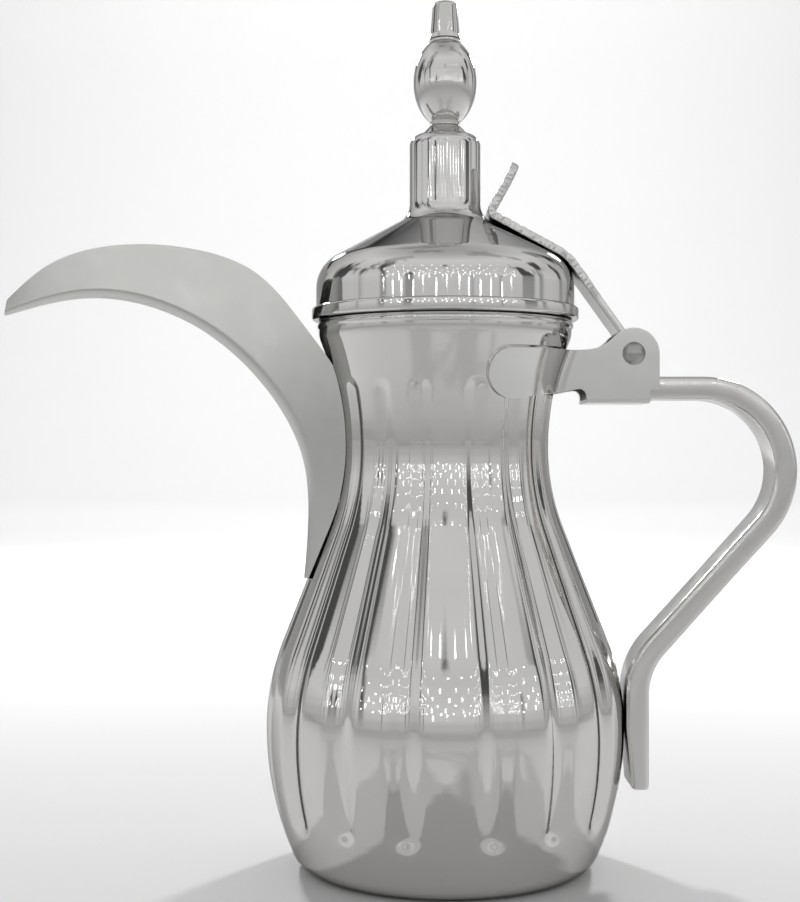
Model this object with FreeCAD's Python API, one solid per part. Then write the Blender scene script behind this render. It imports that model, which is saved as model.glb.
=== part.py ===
"""Polished metal dallah coffee pot, in millimetres.

+Z is up and the origin is the middle of the flat base. The spout points along -X, the handle
along +X, and -Y is the side seen from the front. The lid turns about the hinge rivet.
"""
import FreeCAD, Part
import math
import os
from FreeCAD import Vector

# Pot body: a round profile of tangent arcs from the base up to the mouth
belly_radius = 59.2
belly_height = 46.0
belly_lower_arc = 102.0
flank_steepness = 6.27
belly_arc_share = 0.52
waist_radius = 34.2
waist_height = 138.0
mouth_radius = 42.0
mouth_bend = 8.0
mouth_collar_height = 3.3
rim_height = 179.8
foot_corner = 9.0
foot_ring_width = 4.5
wall = 1.0
rim_bead_height = 2.9
rim_bead_rise = 0.5

# Flutes pressed into the body, counted from the front and mirrored to the other quarters
flutes_per_quarter = 4
first_flute_angle = 14.0
flute_pitch_angle = 21.5
flute_half_angle = 6.8
flute_depth = 2.1
flute_low_end = 15.0
flute_high_end = 160.7
flute_half_columns = 4
body_fine_step = 1.4
body_coarse_step = 5.0

# Spout: a beak of sheet, open along its top, made as two pressed halves
spout_sheet = 1.0

# Points of the spout beside the mouth, as their reach from the pot's axis and height above the rim
spout_tip = (146.6, 2.4)
spout_keel_crest = (119.0, 8.5)
spout_keel_shoulder = (88.3, 1.6)
spout_keel_bend = (61.7, -19.0)
spout_lip = (145.6, 7.5)
spout_lip_rise = (131.5, 18.8)
spout_lip_crest = (107.0, 25.2)
spout_lip_shoulder = (84.0, 23.8)
spout_lip_fall = (63.0, 16.2)
spout_lip_root = (46.0, -2.2)

# Points of the keel beside the neck, as their distance from the body and depth below the waist
spout_keel_throat = (12.2, 5.0)
spout_keel_drop = (6.6, 25.0)
spout_keel_foot = (-1.5, 52.0)
spout_tip_half_width = 1.9
spout_root_half_width = 10.6
spout_foot_half_width = 7.0
spout_widest = 0.62
spout_tip_fold = 1.5
spout_root_fold = 3.5
spout_stations = 15
spout_cut_margin = 4.0
pour_opening_width = 12.0
pour_opening_height = 26.0
pour_opening_below_rim = 13.8

# Handle: a bar of flat section, bent in one plane
handle_width = 18.0
handle_thickness = 7.5
handle_reach = 115.4
handle_bend = 27.2
handle_lower_bend = 23.7
handle_slope_angle = 48.0
handle_end_height = 25.8
handle_end_taper = 1.7
handle_edge_round = 1.6
handle_inner_end = 49.0

# Hinge bracket: one folded sheet with a floor, two ears and two wings round the neck
bracket_sheet = 1.2
bracket_floor_height = 152.8
bracket_floor_start = 46.0
bracket_floor_relief = 3.0
bracket_fold = 1.1
bracket_arm_top = 170.3
bracket_arm_bottom = 157.4
bracket_notch_radius = 2.4
bracket_bend = 4.0
ear_radius = 8.4
ear_blend = 13.0
bracket_levels = 5
wing_end_reach = 12.5
wing_sweep_angle = 78.2
wing_height = 16.0
wing_middle_height = 161.4
hinge_reach = 61.4
hinge_height = 169.0
rivet_radius = 2.2
rivet_head_radius = 3.75
rivet_head_rise = 1.7

# Lid: a pressed dome with a raised rim band and a hollow tower
lid_sheet = 0.9
lid_band_overhang = 2.3
lid_band_height = 4.3
lid_band_step = 1.4
lid_band_round = 1.0
lid_cone_low_height = 17.9
lid_cone_angle = 28.5
lid_shoulder = 12.0
tower_radius = 11.8
tower_foot = 7.0
tower_height = 62.0
tower_round = 4.0
skirt_depth = 6.0
skirt_sheet = 0.9
skirt_taper = 1.5
skirt_clearance = 1.6

# Lid lever: a strap from the thumb tab over the lid to a barrel on the rivet
lever_width = 17.0
lever_thickness = 2.4
lever_tab_length = 19.0
lever_tab_angle = 61.5
lever_tab_bend = 2.2
lever_start_reach = 13.6
lever_barrel_radius = 4.2
lever_above_rivet = 1.4
lever_corner = 4.0
lever_rivet_radius = 1.4
lever_rivet_head_radius = 2.7
lever_rivet_head_rise = 1.0
lever_rivet_reach = 23.5
lever_rivet_spacing = 9.5
lever_rivet_tail_gap = 0.2

# Finial: turned pieces stacked on a stud above the tower
collar_neck_radius = 4.7
collar_neck_height = 3.2
collar_height = 4.3
bead_radius = 10.5
bead_half_length = 13.1
bead_end_radius = 5.0
ring_radius = 5.3
ring_height = 1.3
tip_base_radius = 5.5
tip_flare_height = 1.6
tip_lower_radius = 4.9
tip_upper_radius = 4.0
tip_height = 12.4
tip_round = 1.7
stud_radius = 2.4
stud_tip_engagement = 7.0
nut_sides = 6
nut_across_flats = 8.0
nut_height = 4.0
washer_radius = 5.0
washer_height = 1.0

# Clearances
weld_gap = 0.05
lid_gap = 0.5
rivet_clearance = 0.08
handle_side_clearance = 0.2
lever_lid_gap = 0.1

AXIS = Vector(0, 0, 1)
ACROSS = Vector(0, 1, 0)
ORIGIN = Vector(0, 0, 0)
FULL_TURN = 360.0
FAR = 400.0


def side(x, z):
    """A point of the side view, where x is also the radius of a turned profile."""
    return Vector(x, 0, z)


def line(start, end):
    return Part.LineSegment(start, end).toShape()


def arc_about(centre, start, end):
    """The shorter arc about a centre in the side view, from start to end."""
    middle = (start - centre) + (end - centre)
    middle.normalize()
    radius = (start - centre).Length
    return Part.Arc(start, centre + middle * radius, end).toShape()


def rounded_path(corners, radii):
    """Edges of an open polyline in the side view with each inner corner rounded to its radius."""
    edges = []
    here = corners[0]
    for before, corner, after, radius in zip(corners, corners[1:], corners[2:], radii):
        toward = (before - corner).normalize()
        away = (after - corner).normalize()
        half = toward.getAngle(away) / 2
        reach = radius / math.tan(half)
        start = corner + toward * reach
        end = corner + away * reach
        bisector = (toward + away).normalize()
        centre = corner + bisector * (radius / math.sin(half))
        edges += [line(here, start), arc_about(centre, start, end)]
        here = end
    edges.append(line(here, corners[-1]))
    return edges


def offset_corners(corners, shift):
    """Corners of a side-view polyline moved to its left by shift, keeping its segments parallel."""
    normals = []
    for start, end in zip(corners, corners[1:]):
        along = (end - start).normalize()
        normals.append(Vector(-along.z, 0, along.x))
    moved = [corners[0] + normals[0] * shift]
    for corner, first, second in zip(corners[1:], normals, normals[1:]):
        miter = first + second
        moved.append(corner + miter * (2 * shift / miter.Length ** 2))
    moved.append(corners[-1] + normals[-1] * shift)
    return moved


def strip_face(corners, radii, turns, thickness):
    """Face of a bent strip in the side view; turns holds +1 for a left bend and -1 for a right one."""
    half = thickness / 2
    left = [radius - turn * half for radius, turn in zip(radii, turns)]
    right = [radius + turn * half for radius, turn in zip(radii, turns)]
    left_path = rounded_path(offset_corners(corners, half), left)
    right_path = rounded_path(offset_corners(corners, -half), right)
    first_cap = line(right_path[0].Vertexes[0].Point, left_path[0].Vertexes[0].Point)
    last_cap = line(left_path[-1].Vertexes[-1].Point, right_path[-1].Vertexes[-1].Point)
    edges = left_path + right_path + [first_cap, last_cap]
    return Part.Face(Part.Wire(Part.__sortEdges__(edges)))


def across(face, width):
    """A side-view face made solid across the middle plane."""
    solid = face.extrude(ACROSS * width)
    solid.translate(ACROSS * (-width / 2))
    return solid


def turned(edges):
    """Solid of revolution about the pot's axis from the edges of a closed profile."""
    face = Part.Face(Part.Wire(Part.__sortEdges__(edges)))
    return face.revolve(ORIGIN, AXIS, FULL_TURN)


def closed_lines(points):
    return [line(a, b) for a, b in zip(points, points[1:] + points[:1])]


def tube(outer, inner, low, high):
    """A plain ring about the pot's axis."""
    return turned(closed_lines([side(inner, low), side(outer, low), side(outer, high), side(inner, high)]))


FOOT_REACH = math.sqrt((belly_lower_arc - foot_corner) ** 2 - (belly_height - foot_corner) ** 2)
FOOT_RADIUS = belly_radius - belly_lower_arc + FOOT_REACH
BASE_RADIUS = FOOT_RADIUS - foot_ring_width


def foot_edges():
    """Profile from the base disc round the foot corner to the belly's widest point."""
    belly_centre = side(belly_radius - belly_lower_arc, belly_height)
    foot_centre = side(FOOT_RADIUS, foot_corner)
    foot_low = side(FOOT_RADIUS, 0)
    foot_top = belly_centre + (foot_centre - belly_centre).normalize() * belly_lower_arc
    return [
        line(side(BASE_RADIUS, 0), foot_low),
        arc_about(foot_centre, foot_low, foot_top),
        arc_about(belly_centre, foot_top, side(belly_radius, belly_height)),
    ]


def flank_edges():
    """Profile from the belly to the waist: two arcs joined by a straight flank, steeper than their chord."""
    steepness = math.radians(flank_steepness)
    widest, waist = side(belly_radius, belly_height), side(waist_radius, waist_height)
    chord = waist - widest
    lean = math.atan2(-chord.x, chord.z) + steepness
    both_arcs = chord.Length * math.sin(steepness) / (1 - math.cos(lean))
    belly_arc = both_arcs * belly_arc_share
    neck_arc = both_arcs - belly_arc
    slant = side(math.cos(lean), math.sin(lean))
    belly_centre = widest - side(belly_arc, 0)
    neck_centre = waist + side(neck_arc, 0)
    belly_end = belly_centre + slant * belly_arc
    neck_start = neck_centre - slant * neck_arc
    return [
        arc_about(belly_centre, widest, belly_end),
        line(belly_end, neck_start),
        arc_about(neck_centre, neck_start, waist),
    ]


def mouth_edges():
    """Profile from the waist up the flared neck and round the mouth bend to the rim."""
    bend_centre = side(mouth_radius - mouth_bend, rim_height - mouth_collar_height)
    waist = side(waist_radius, waist_height)
    across_flare = waist.x - bend_centre.x
    flare_rise = bend_centre.z - waist.z
    flare_arc = (flare_rise ** 2 + across_flare ** 2 - mouth_bend ** 2) / (2 * (mouth_bend - across_flare))
    flare_centre = waist + side(flare_arc, 0)
    flare_end = flare_centre + (bend_centre - flare_centre).normalize() * flare_arc
    bend_end = side(mouth_radius, bend_centre.z)
    return [
        arc_about(flare_centre, waist, flare_end),
        arc_about(bend_centre, flare_end, bend_end),
        line(bend_end, side(mouth_radius, rim_height)),
    ]


PROFILE = foot_edges() + flank_edges() + mouth_edges()
PROFILE_LENGTH = sum(edge.Length for edge in PROFILE)


def profile_at(length):
    """Point and outward normal of the body profile at a length along it from the base disc."""
    for edge in PROFILE:
        if length <= edge.Length or edge is PROFILE[-1]:
            parameter = edge.getParameterByLength(min(length, edge.Length))
            tangent = edge.tangentAt(parameter)
            return edge.valueAt(parameter), Vector(tangent.z, 0, -tangent.x)
        length -= edge.Length


def length_at_height(height):
    """Length along the body profile where it reaches a height."""
    low, high = 0.0, PROFILE_LENGTH
    while high - low > weld_gap:
        middle = (low + high) / 2
        if profile_at(middle)[0].z < height:
            low = middle
        else:
            high = middle
    return high


def body_radius(height):
    return profile_at(length_at_height(height))[0].x


FLUTE_HALF = math.radians(flute_half_angle)
FLUTE_START = length_at_height(flute_low_end)
FLUTE_END = length_at_height(flute_high_end)
FLUTE_LOW_ROUND = body_radius(flute_low_end) * FLUTE_HALF
FLUTE_HIGH_ROUND = body_radius(flute_high_end) * FLUTE_HALF


def flute_centres():
    """Angles of all flutes, from the front toward +X, in order round the pot."""
    quarter = [first_flute_angle + flute_pitch_angle * i for i in range(flutes_per_quarter)]
    half = quarter + [FULL_TURN / 2 - angle for angle in reversed(quarter)]
    whole = half + [FULL_TURN - angle for angle in reversed(half)]
    return [math.radians(angle) for angle in whole]


def flute_sink(turn, length, radius):
    """Depth of a flute at an angle from its middle and a length along the profile; its ends are round."""
    beyond_low = (FLUTE_START + FLUTE_LOW_ROUND - length) / FLUTE_LOW_ROUND
    beyond_high = (length - FLUTE_END + FLUTE_HIGH_ROUND) / FLUTE_HIGH_ROUND
    share = math.hypot(turn / FLUTE_HALF, max(0.0, beyond_low, beyond_high))
    return flute_depth * radius / belly_radius * (1 + math.cos(math.pi * min(share, 1.0))) / 2


def profile_lengths():
    """Lengths along the profile where the body surface is set, close together where it turns fast."""
    low_zone = FLUTE_START + 2 * FLUTE_LOW_ROUND
    high_zone = FLUTE_END - 2 * FLUTE_HIGH_ROUND
    lengths = []
    for start, end, step in (
        (0.0, low_zone, body_fine_step),
        (low_zone, high_zone, body_coarse_step),
        (high_zone, PROFILE_LENGTH, body_fine_step),
    ):
        count = math.ceil((end - start) / step)
        lengths += [start + (end - start) * i / count for i in range(count)]
    return lengths + [PROFILE_LENGTH]


def spline_through(points, parameters, tangents=None):
    curve = Part.BSplineCurve()
    if tangents:
        start, end = tangents
        curve.interpolate(
            Points=points, Parameters=parameters, InitialTangent=start, FinalTangent=end, Scale=False
        )
    else:
        curve.interpolate(Points=points, Parameters=parameters)
    return curve


def fluted_strip(low_angle, centre, high_angle, offset, lengths):
    """Surface of the body over one flute, from the middle of one rib to the next."""
    count = flute_half_columns
    inside = [centre + FLUTE_HALF * i / count for i in range(-count, count + 1)]
    angles = [low_angle, (low_angle + inside[0]) / 2] + inside + [(high_angle + inside[-1]) / 2, high_angle]
    rows = []
    for length in lengths:
        point, normal = profile_at(length)
        row = []
        for angle in angles:
            spot = point + normal * (offset - flute_sink(angle - centre, length, point.x))
            row.append(Vector(spot.x * math.sin(angle), -spot.x * math.cos(angle), spot.z))
        radius = (point + normal * offset).x
        ends = [Vector(radius * math.cos(a), radius * math.sin(a), 0) for a in (low_angle, high_angle)]
        rows.append(spline_through(row, angles, ends))
    columns = []
    for poles in zip(*[row.getPoles() for row in rows]):
        columns.append(spline_through(list(poles), lengths))
    surface = Part.BSplineSurface()
    surface.buildFromPolesMultsKnots(
        [column.getPoles() for column in columns],
        rows[0].getMultiplicities(),
        columns[0].getMultiplicities(),
        rows[0].getKnots(),
        columns[0].getKnots(),
        False,
        False,
        rows[0].Degree,
        columns[0].Degree,
    )
    return surface


def fluted_skin(offset):
    """All strips of the body surface moved outward by offset, with their lower and upper edges."""
    centres = flute_centres()
    count = len(centres)
    lengths = profile_lengths()
    faces, low_edges, high_edges = [], [], []
    for i, centre in enumerate(centres):
        before = centres[i - 1] - (2 * math.pi if i == 0 else 0)
        after = centres[(i + 1) % count] + (2 * math.pi if i == count - 1 else 0)
        surface = fluted_strip((before + centre) / 2, centre, (centre + after) / 2, offset, lengths)
        faces.append(surface.toShape())
        low_edges.append(surface.vIso(0.0).toShape())
        high_edges.append(surface.vIso(PROFILE_LENGTH).toShape())
    return faces, low_edges, high_edges


def sewn_solid(faces):
    shell = Part.Shell(faces)
    shell.sewShape()
    solid = Part.Solid(shell)
    if solid.Volume < 0:
        solid.reverse()
    return solid


def fluted_block(offset):
    """The space the body takes up, filled, moved outward by offset."""
    faces, low_edges, high_edges = fluted_skin(offset)
    return sewn_solid(faces + [Part.Face(Part.Wire(low_edges)), Part.Face(Part.Wire(high_edges))])


def body_shell():
    """Fluted shell with a beaded rim, open at the mouth, at the base disc and into the spout."""
    outer, outer_low, outer_high = fluted_skin(0.0)
    inner, inner_low, inner_high = fluted_skin(-wall)
    rim = [Part.makeRuledSurface(a, b) for a, b in zip(outer_high, inner_high)]
    foot = [Part.makeRuledSurface(a, b) for a, b in zip(outer_low, inner_low)]
    shell = sewn_solid(outer + inner + rim + foot)
    bead_low = rim_height - rim_bead_height
    bead_inner = mouth_radius - wall / 2
    bead_top = side(bead_inner, rim_height)
    bead_foot = side(bead_inner, bead_low)
    bead_crown = side(mouth_radius + rim_bead_rise, (rim_height + bead_low) / 2)
    bead = turned([line(bead_top, bead_foot), Part.Arc(bead_foot, bead_crown, bead_top).toShape()])
    return shell.fuse(bead).cut(pour_opening())


def pour_opening():
    """Round-ended slot through the neck wall behind the spout."""
    half = pour_opening_width / 2
    top = rim_height - pour_opening_below_rim
    ends = [top - pour_opening_height + half, top - half]
    toward_spout = Vector(-1, 0, 0)
    slot = Part.makeBox(FAR, pour_opening_width, ends[1] - ends[0], Vector(-FAR, -half, ends[0]))
    for height in ends:
        slot = slot.fuse(Part.makeCylinder(half, FAR, Vector(0, 0, height), toward_spout))
    return slot


def base_disc():
    return Part.makeCylinder(BASE_RADIUS - weld_gap, wall)


def spout_curves():
    """Side-view curves of the spout's keel and of its open edge, which runs on into the neck."""
    by_rim = [spout_tip, spout_keel_crest, spout_keel_shoulder, spout_keel_bend]
    keel = [side(-reach, rim_height + above) for reach, above in by_rim]
    for distance, below in (spout_keel_throat, spout_keel_drop, spout_keel_foot):
        height = waist_height - below
        keel.append(side(-body_radius(height) - distance, height))
    by_rim = [spout_lip, spout_lip_rise, spout_lip_crest, spout_lip_shoulder, spout_lip_fall, spout_lip_root]
    lip = [side(-reach, rim_height + above) for reach, above in by_rim]
    neck_inside = waist_radius - spout_root_half_width / 2
    lip += [side(-neck_inside - 2 * wall, waist_height + neck_inside / 2), side(-neck_inside, waist_height)]
    lip.append(side(-neck_inside - wall, keel[-1].z))
    edges = []
    for points in (keel, lip):
        curve = Part.BSplineCurve()
        curve.interpolate(points)
        edges.append(curve.toShape())
    return edges


def spout_half_width(share):
    """Half width of the spout at a share of its length from the tip."""
    if share < spout_widest:
        swell = math.sin(math.pi / 2 * share / spout_widest)
        return spout_tip_half_width + (spout_root_half_width - spout_tip_half_width) * swell
    fall = math.cos(math.pi / 2 * (share - spout_widest) / (1 - spout_widest))
    return spout_foot_half_width + (spout_root_half_width - spout_foot_half_width) * fall


def spout_section(keel, lip, half_width, inset, rise):
    """Closed U section across the spout, folded at its lower corners; rise lifts its top above the lip."""
    up = lip - keel
    depth = up.Length - inset
    up.normalize()
    swell = (half_width - spout_tip_half_width) / (spout_root_half_width - spout_tip_half_width)
    fold = spout_tip_fold + (spout_root_fold - spout_tip_fold) * swell - inset
    reach = half_width - inset
    bow = fold * (1 - math.sqrt(0.5))

    def spot(sideways, down):
        return lip + ACROSS * sideways - up * down

    near_top, far_top = spot(reach, -rise), spot(-reach, -rise)
    near_side, far_side = spot(reach, depth - fold), spot(-reach, depth - fold)
    near_floor, far_floor = spot(reach - fold, depth), spot(fold - reach, depth)
    return Part.Wire([
        line(near_top, near_side),
        Part.Arc(near_side, spot(reach - bow, depth - bow), near_floor).toShape(),
        line(near_floor, far_floor),
        Part.Arc(far_floor, spot(bow - reach, depth - bow), far_side).toShape(),
        line(far_side, far_top),
        line(far_top, near_top),
    ])


def spout_block(inset, rise):
    """Spout as a filled horn, drawn in by inset; a raised inner horn also runs out past the tip."""
    keel, lip = spout_curves()
    sections = []
    for i in range(spout_stations):
        share = i / (spout_stations - 1)
        spots = [edge.valueAt(edge.getParameterByLength(share * edge.Length)) for edge in (keel, lip)]
        sections.append(spout_section(*spots, spout_half_width(share), inset, rise))
    return Part.makeLoft(sections, True, False)


def spout_halves():
    """The two pressed halves of the spout, trimmed to the neck and meeting along the keel."""
    seam_gap = weld_gap / 2
    horn = spout_block(0.0, weld_gap).cut(spout_block(spout_sheet, spout_cut_margin))
    bead_room = Part.makeCylinder(mouth_radius + rim_bead_rise + weld_gap, rim_bead_height + 2 * weld_gap,
                                  AXIS * (rim_height - rim_bead_height - weld_gap))
    horn = horn.cut([fluted_block(weld_gap), bead_room])
    back = horn.common(Part.makeBox(2 * FAR, FAR, 2 * FAR, Vector(-FAR, seam_gap, -FAR)))
    return back.mirror(ORIGIN, ACROSS), back


PLATE_INNER = handle_width / 2 + handle_side_clearance
PLATE_OUTER = PLATE_INNER + bracket_sheet
FLOOR_TOP = bracket_floor_height + bracket_sheet


def bracket_plan(height):
    """Plan section of one side of the bracket sheet at a height: straight plate, bend and wing."""
    wing_sweep = math.radians(wing_sweep_angle)
    inner = body_radius(height) + weld_gap
    outer = inner + bracket_sheet
    bend_y = -(PLATE_OUTER + bracket_bend)
    bend_x = math.sqrt((outer + bracket_bend) ** 2 - bend_y ** 2)
    bend = Vector(bend_x, bend_y, height)
    centre = Vector(0, 0, height)
    toward = (bend - centre).normalize()
    far_end = Vector(math.cos(wing_sweep), -math.sin(wing_sweep), 0)
    right = hinge_reach + ear_radius

    def arc(middle, start, end):
        bow = ((start - middle) + (end - middle)).normalize()
        return Part.Arc(start, middle + bow * (start - middle).Length, end).toShape()

    outside = [Vector(right, -PLATE_OUTER, height), Vector(bend_x, -PLATE_OUTER, height)]
    outside += [centre + toward * outer, centre + far_end * outer]
    inside = [Vector(right, -PLATE_INNER, height), Vector(bend_x, -PLATE_INNER, height)]
    inside += [centre + toward * inner, centre + far_end * inner]
    return Part.Wire([
        line(outside[0], outside[1]),
        arc(bend, outside[1], outside[2]),
        arc(centre, outside[2], outside[3]),
        line(outside[3], inside[3]),
        arc(centre, inside[3], inside[2]),
        arc(bend, inside[2], inside[1]),
        line(inside[1], inside[0]),
        line(inside[0], outside[0]),
    ])


def bracket_outline():
    """Side-view face of the bracket's ears, arms and wings."""
    hinge = side(hinge_reach, hinge_height)
    right = hinge_reach + ear_radius
    wing_low = wing_middle_height - wing_height / 2
    wing_high = wing_middle_height + wing_height / 2
    wing_straight = wing_end_reach + wing_height / 2
    blend_rise = bracket_arm_top + ear_blend
    blend_run = math.sqrt((ear_radius + ear_blend) ** 2 - (blend_rise - hinge_height) ** 2)
    blend = side(hinge_reach - blend_run, blend_rise)
    blend_end = hinge + (blend - hinge).normalize() * ear_radius
    ear_side = side(right, hinge_height)
    ear_bow = hinge + ((ear_side - hinge) + side(0, ear_radius)).normalize() * ear_radius
    floor_end = right - bracket_floor_relief
    relief_top = FLOOR_TOP + bracket_floor_relief
    notch_left = bracket_floor_start - bracket_notch_radius
    notch_top = side(notch_left, bracket_arm_bottom)
    notch_end = side(bracket_floor_start, bracket_arm_bottom - bracket_notch_radius)
    notch_bow = side(notch_left + bracket_notch_radius * math.sqrt(0.5),
                     notch_end.z + bracket_notch_radius * math.sqrt(0.5))
    edges = [
        line(side(wing_straight, wing_high), side(blend.x, bracket_arm_top)),
        arc_about(blend, side(blend.x, bracket_arm_top), blend_end),
        Part.Arc(blend_end, ear_bow, ear_side).toShape(),
        line(ear_side, side(right, relief_top)),
        line(side(right, relief_top), side(floor_end, relief_top)),
        line(side(floor_end, relief_top), side(floor_end, bracket_floor_height)),
        line(side(floor_end, bracket_floor_height), side(bracket_floor_start, bracket_floor_height)),
        line(side(bracket_floor_start, bracket_floor_height), notch_end),
        Part.Arc(notch_end, notch_bow, notch_top).toShape(),
        line(notch_top, side(wing_straight, wing_low)),
        Part.Arc(side(wing_straight, wing_low), side(wing_end_reach, wing_middle_height),
                 side(wing_straight, wing_high)).toShape(),
    ]
    return Part.Face(Part.Wire(Part.__sortEdges__(edges)))


def hinge_bracket():
    """Folded bracket: a sheet laid against the neck, trimmed to its outline, with a floor below."""
    low = bracket_floor_height - bracket_sheet
    high = hinge_height + ear_radius + bracket_sheet
    step = (high - low) / (bracket_levels - 1)
    plans = [bracket_plan(low + step * i) for i in range(bracket_levels)]
    sheet = Part.makeLoft(plans, True, False)
    near = sheet.common(bracket_outline().extrude(-ACROSS * FAR))
    far = near.mirror(ORIGIN, ACROSS)
    floor_length = hinge_reach + ear_radius - bracket_floor_relief - bracket_floor_start
    floor = Part.makeBox(floor_length, 2 * PLATE_OUTER, bracket_sheet,
                         Vector(bracket_floor_start, -PLATE_OUTER, bracket_floor_height))
    bracket = near.fuse([far, floor]).removeSplitter()
    folds = [edge for edge in bracket.Edges if is_floor_fold(edge)]
    bracket = bracket.makeFillet(bracket_fold, folds)
    hole_start = Vector(hinge_reach, -FAR, hinge_height)
    return bracket.cut(Part.makeCylinder(rivet_radius + weld_gap, 2 * FAR, hole_start, ACROSS))


def is_floor_fold(edge):
    """Whether an edge runs along the outside of the fold between a plate and the floor."""
    box = edge.BoundBox
    flat = box.ZLength < weld_gap and box.YLength < weld_gap
    return flat and abs(box.ZMin - bracket_floor_height) < weld_gap and box.YMax ** 2 > PLATE_INNER ** 2


def hinge_rivet():
    """Rivet across both ears, with a domed head on each."""
    seat = PLATE_OUTER + weld_gap
    foot = Vector(hinge_reach, -seat, hinge_height)
    return rivet(rivet_radius, rivet_head_radius, rivet_head_rise, 2 * seat, foot, ACROSS)


def rivet(radius, head_radius, rise, grip, foot, direction):
    """Rivet with a shallow dome at each end, whose grip stands on a foot point along a direction."""
    ball = (head_radius ** 2 + rise ** 2) / (2 * rise)
    low_tip, high_tip = side(0, -rise), side(0, grip + rise)
    low_edge, high_edge = side(head_radius, 0), side(head_radius, grip)
    turned_rivet = turned([
        arc_about(side(0, ball - rise), low_tip, low_edge),
        line(low_edge, side(radius, 0)),
        line(side(radius, 0), side(radius, grip)),
        line(side(radius, grip), high_edge),
        arc_about(side(0, grip + rise - ball), high_edge, high_tip),
        line(high_tip, low_tip),
    ])
    turned_rivet.Placement = FreeCAD.Placement(foot, FreeCAD.Rotation(AXIS, direction))
    return turned_rivet


def handle():
    """Flat bar seated on the bracket floor, bent round the hand and down to the belly."""
    half = handle_thickness / 2
    top = FLOOR_TOP + weld_gap + half
    slope = math.radians(handle_slope_angle)
    bend_x = handle_reach - handle_bend - half
    corner = side(bend_x + handle_bend / math.tan(slope / 2), top)
    inner_face = belly_radius + weld_gap
    lower_x = inner_face + half
    lower_corner = side(lower_x, top - (corner.x - lower_x) * math.tan(slope))
    corners = [side(handle_inner_end, top), corner, lower_corner, side(lower_x, handle_end_height)]
    face = strip_face(corners, [handle_bend, handle_lower_bend], [-1, 1], handle_thickness)
    bar = across(face, handle_width)
    wedge = Part.Face(Part.Wire(closed_lines([
        side(inner_face, belly_height),
        side(inner_face - half, handle_end_height),
        side(inner_face + handle_end_taper, handle_end_height),
    ])))
    bar = bar.cut(across(wedge, 2 * handle_width))
    rounds = []
    for edge in bar.Edges:
        box = edge.BoundBox
        along_side = box.YLength < weld_gap
        across_end = box.YLength > half and box.ZMax < handle_end_height + weld_gap
        if along_side or across_end:
            rounds.append(edge)
    return bar.makeFillet(handle_edge_round, rounds)


LID_BASE = rim_height + lid_gap
LID_BAND = mouth_radius + lid_band_overhang
LID_WALL = LID_BAND - lid_band_step
LID_CONE = math.radians(lid_cone_angle)
TOWER_TOP = LID_BASE + tower_height


def cone_height(radius):
    """Height of the lid's sloping top at a radius, before its rounds."""
    return LID_BASE + lid_cone_low_height + (LID_WALL - radius) * math.tan(LID_CONE)


def lid_path(inset):
    """Lid profile from the rim to the stud hole, drawn in by inset, with all rounds about fixed centres."""
    drop = inset / math.cos(LID_CONE)
    corners = [
        side(LID_WALL - inset, LID_BASE),
        side(LID_WALL - inset, cone_height(LID_WALL - inset) - drop),
        side(tower_radius - inset, cone_height(tower_radius - inset) - drop),
        side(tower_radius - inset, TOWER_TOP - inset),
        side(stud_radius + weld_gap, TOWER_TOP - inset),
    ]
    return rounded_path(corners, [lid_shoulder - inset, tower_foot + inset, tower_round - inset])


def lid_dome():
    """Dome and tower in one pressing, with a rolled band round its rim."""
    outer = lid_path(0.0)
    inner = lid_path(lid_sheet)
    foot = line(outer[0].Vertexes[0].Point, inner[0].Vertexes[0].Point)
    crown = line(outer[-1].Vertexes[-1].Point, inner[-1].Vertexes[-1].Point)
    dome = turned(outer + inner + [foot, crown])
    band = tube(LID_BAND, LID_WALL - lid_sheet / 2, LID_BASE, LID_BASE + lid_band_height)
    rims = [edge for edge in band.Edges if edge.BoundBox.XMax > LID_WALL and len(edge.Vertexes) == 1]
    band = band.makeFillet(min(lid_band_round, lid_band_step), rims)
    dome = dome.fuse(band).removeSplitter()
    holes = [rivet_bore(place) for place in lever_rivet_places()]
    return dome.cut(holes)


def lid_skirt():
    """Tapered locating ring under the lid, with a flange that rests over the rim of the pot."""
    flange_outer = LID_WALL - lid_sheet - weld_gap
    top = mouth_radius - wall - skirt_clearance
    low = LID_BASE - skirt_depth
    flange_top = LID_BASE + skirt_sheet
    return turned(closed_lines([
        side(top - skirt_taper, low),
        side(top, LID_BASE),
        side(flange_outer, LID_BASE),
        side(flange_outer, flange_top),
        side(top - skirt_sheet, flange_top),
        side(top - skirt_taper - skirt_sheet, low),
    ]))


LEVER_HALF = lever_thickness / 2
CONE_OUT = side(math.sin(LID_CONE), math.cos(LID_CONE))


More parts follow.
